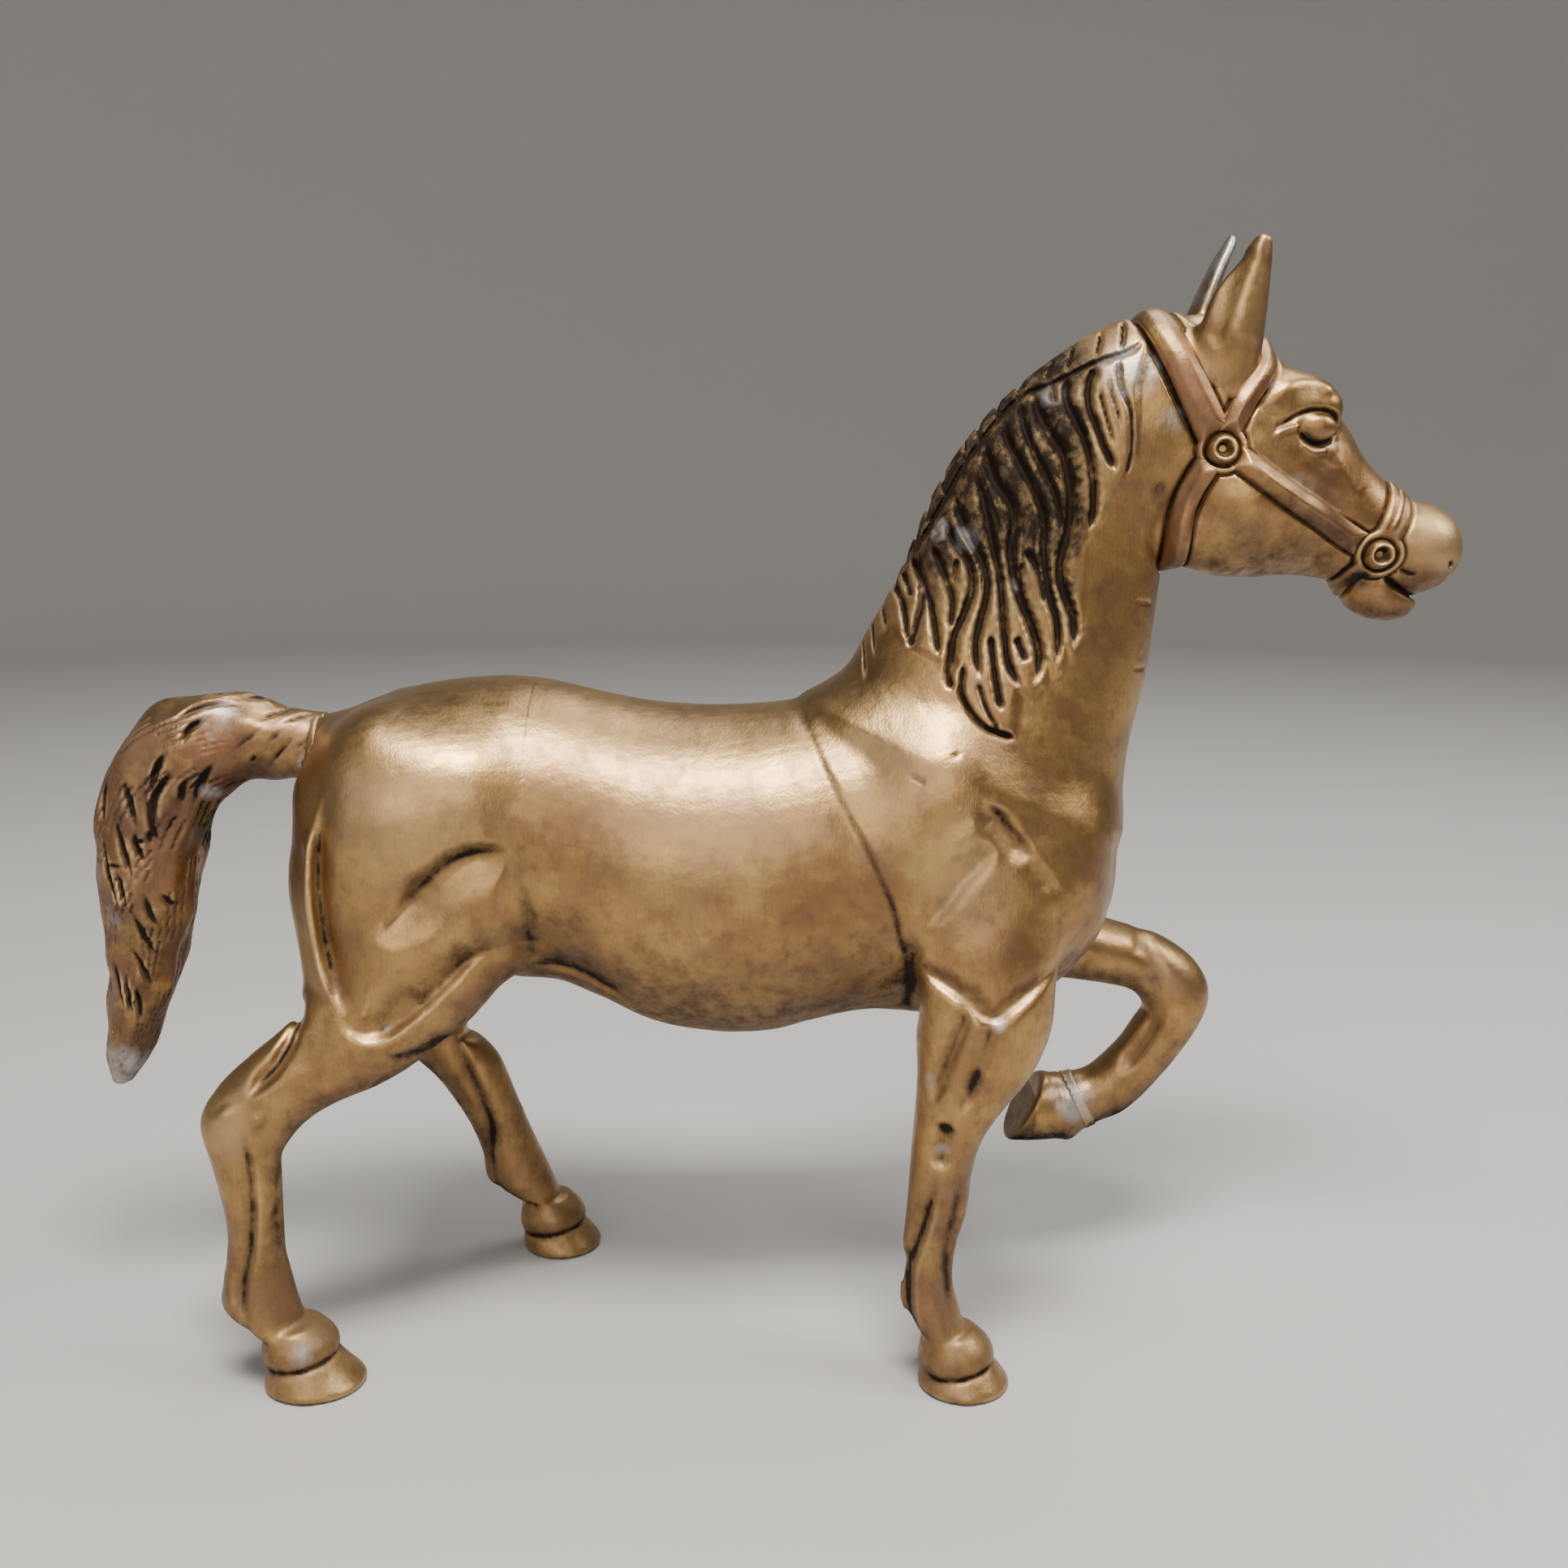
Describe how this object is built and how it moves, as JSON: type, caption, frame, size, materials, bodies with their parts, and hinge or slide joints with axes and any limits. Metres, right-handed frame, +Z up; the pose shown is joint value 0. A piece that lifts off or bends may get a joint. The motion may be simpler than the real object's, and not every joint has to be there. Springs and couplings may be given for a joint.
{
  "type": "bronze horse statue",
  "caption": "Walking horse statuette in cast bronze with a bridle, made of hollow body castings with solid legs and tail brazed together.",
  "frame": {"origin": "on the ground under the middle of the statue's box", "axes": "+X the way the horse faces, +Y its left side, +Z up"},
  "size_m": [0.3043, 0.0836, 0.2456],
  "materials": {
    "bronze": "satin, hand filed, golden brown with darker patina in the hollows",
    "dark_bronze": "satin with a dark patina, worn golden on the high places",
    "silver_braze": "rough filed, silvery grey"
  },
  "bodies": {
    "root": {"barrel_casting": "bronze", "forehand_casting": "bronze", "hindquarter_casting": "bronze", "neck_casting": "bronze", "head_casting": "bronze", "right_ear": "bronze", "left_ear": "bronze", "tail_casting": "dark_bronze", "right_fore_leg": "bronze", "left_fore_leg": "bronze", "left_fore_foot": "bronze", "right_hind_leg": "bronze", "left_hind_leg": "bronze", "crownpiece": "dark_bronze", "browband": "dark_bronze", "throatlatch": "dark_bronze", "noseband": "dark_bronze", "right_cheekpiece": "dark_bronze", "left_cheekpiece": "dark_bronze", "right_rosette": "bronze", "left_rosette": "bronze", "right_bit_ring": "bronze", "left_bit_ring": "bronze", "shoulder_seam_braze": "silver_braze", "flank_seam_braze": "silver_braze", "right_elbow_braze": "silver_braze", "tail_root_braze": "silver_braze", "pastern_braze": "silver_braze"}
  },
  "joints": []
}
